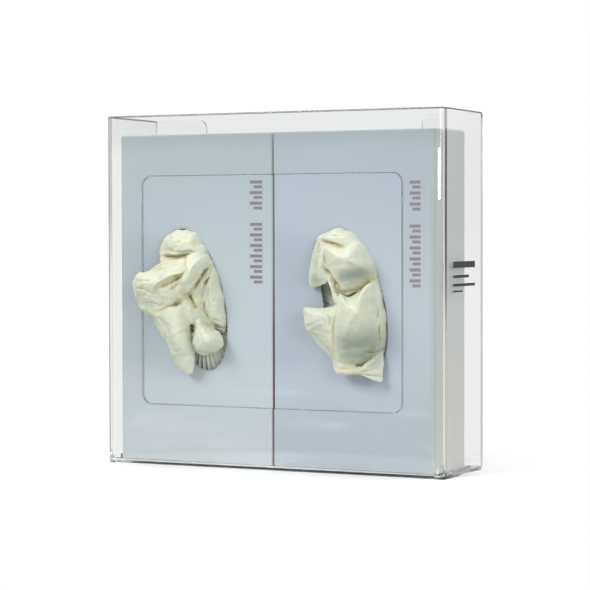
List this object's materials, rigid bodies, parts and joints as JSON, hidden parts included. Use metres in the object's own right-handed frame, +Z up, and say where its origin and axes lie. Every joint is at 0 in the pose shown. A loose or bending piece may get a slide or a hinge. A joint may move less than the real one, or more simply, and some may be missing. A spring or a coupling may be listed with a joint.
{
  "type": "disposable glove dispenser",
  "caption": "clear plastic wall dispenser, open at the top and with a front window, that holds cartons of disposable gloves side by side so that gloves are drawn out through oval openings",
  "frame": {"origin": "middle of the case's underside", "axes": "+X to the right as seen from the front, +Y towards the wall, +Z up; the front sheet faces -Y"},
  "size_m": [0.2698, 0.102, 0.2572],
  "materials": {
    "clear_sheet": "clear polished sheet",
    "carton_board": "printed folding board with a satin varnish",
    "glove_latex": "thin powdered latex"
  },
  "bodies": {
    "root": {"case_body": "clear_sheet", "back_panel": "clear_sheet", "carton_left": "carton_board", "carton_right": "carton_board", "glove_stack_left": "glove_latex", "glove_stack_right": "glove_latex", "next_glove_left": "glove_latex", "next_glove_right": "glove_latex", "pulled_glove_left": "glove_latex", "pulled_glove_right": "glove_latex"}
  },
  "joints": []
}
